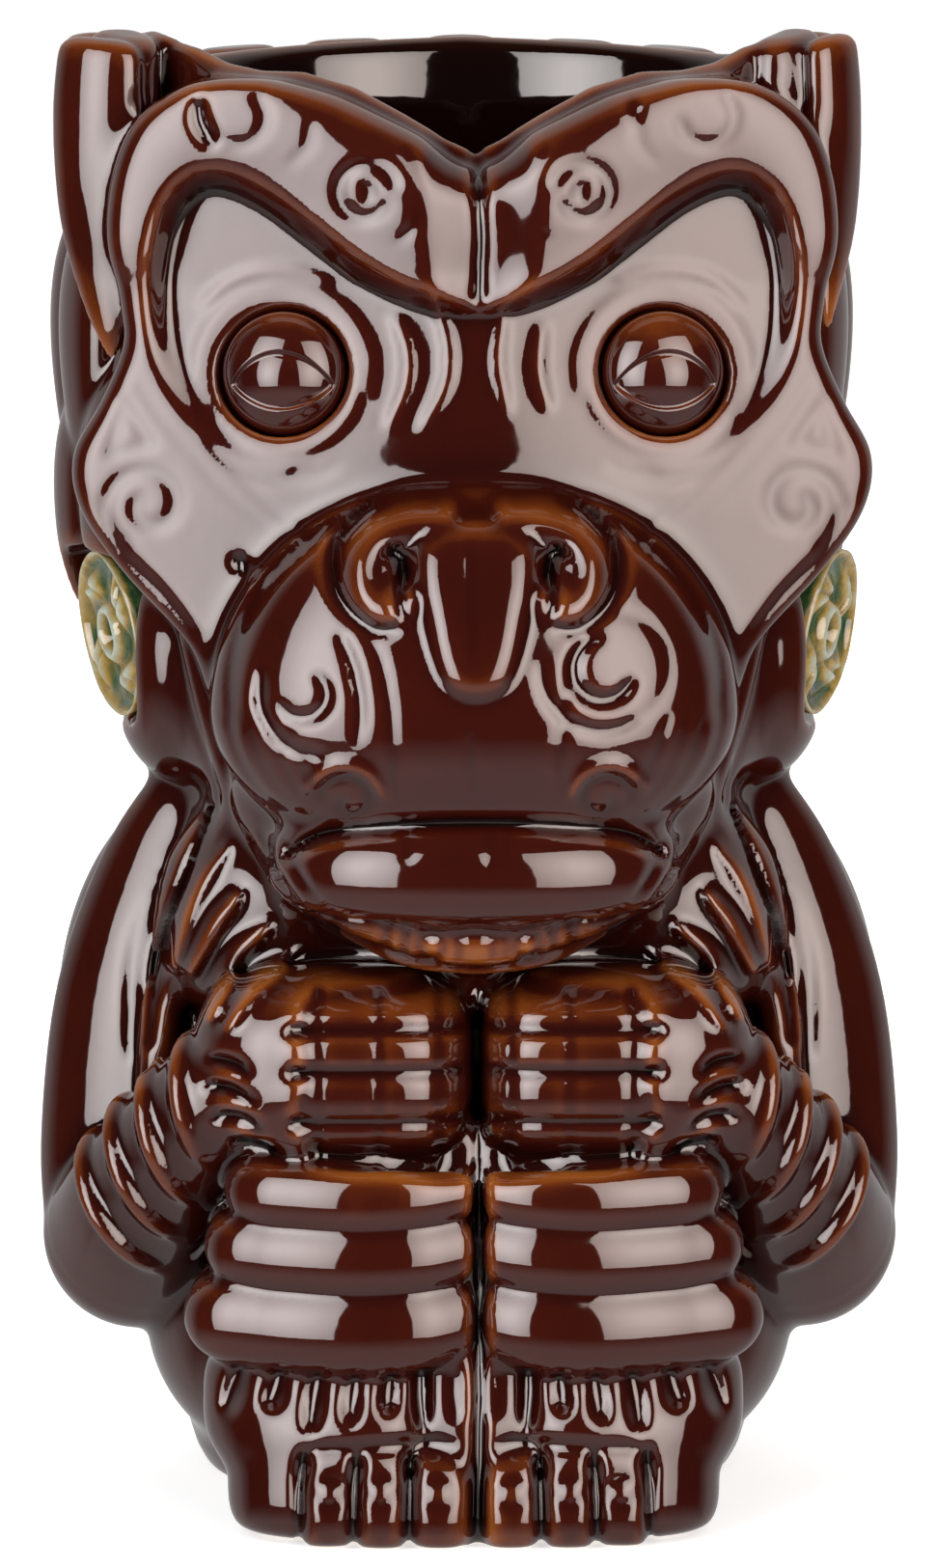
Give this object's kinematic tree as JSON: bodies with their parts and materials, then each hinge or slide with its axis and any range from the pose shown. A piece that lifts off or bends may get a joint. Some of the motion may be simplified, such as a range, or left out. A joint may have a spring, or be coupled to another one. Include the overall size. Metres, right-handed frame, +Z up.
{
  "type": "tiki mug",
  "caption": "Glazed stoneware drinking mug shaped as a crouching ape with a heart-shaped face, clasped hands and ear plugs.",
  "frame": {"origin": "middle of the object's footprint box, on the table that the foot stands on", "axes": "+Z up, the figure looks along -Y, +X is on the right of someone who faces it"},
  "size_m": [0.0967, 0.1007, 0.1643],
  "materials": {
    "brown_glaze": "very glossy oxblood-brown glaze, amber where it runs thin over edges and almost black where it pools",
    "eye_glaze": "the same very glossy brown glaze over a smooth ball",
    "jade_glaze": "glossy pale celadon glaze with green pooled in the hollows and honey yellow on the raised parts"
  },
  "bodies": {
    "root": {"mug_body": "brown_glaze", "eye_left": "eye_glaze", "eye_right": "eye_glaze", "ear_plug_left": "jade_glaze", "ear_plug_right": "jade_glaze"}
  },
  "joints": []
}
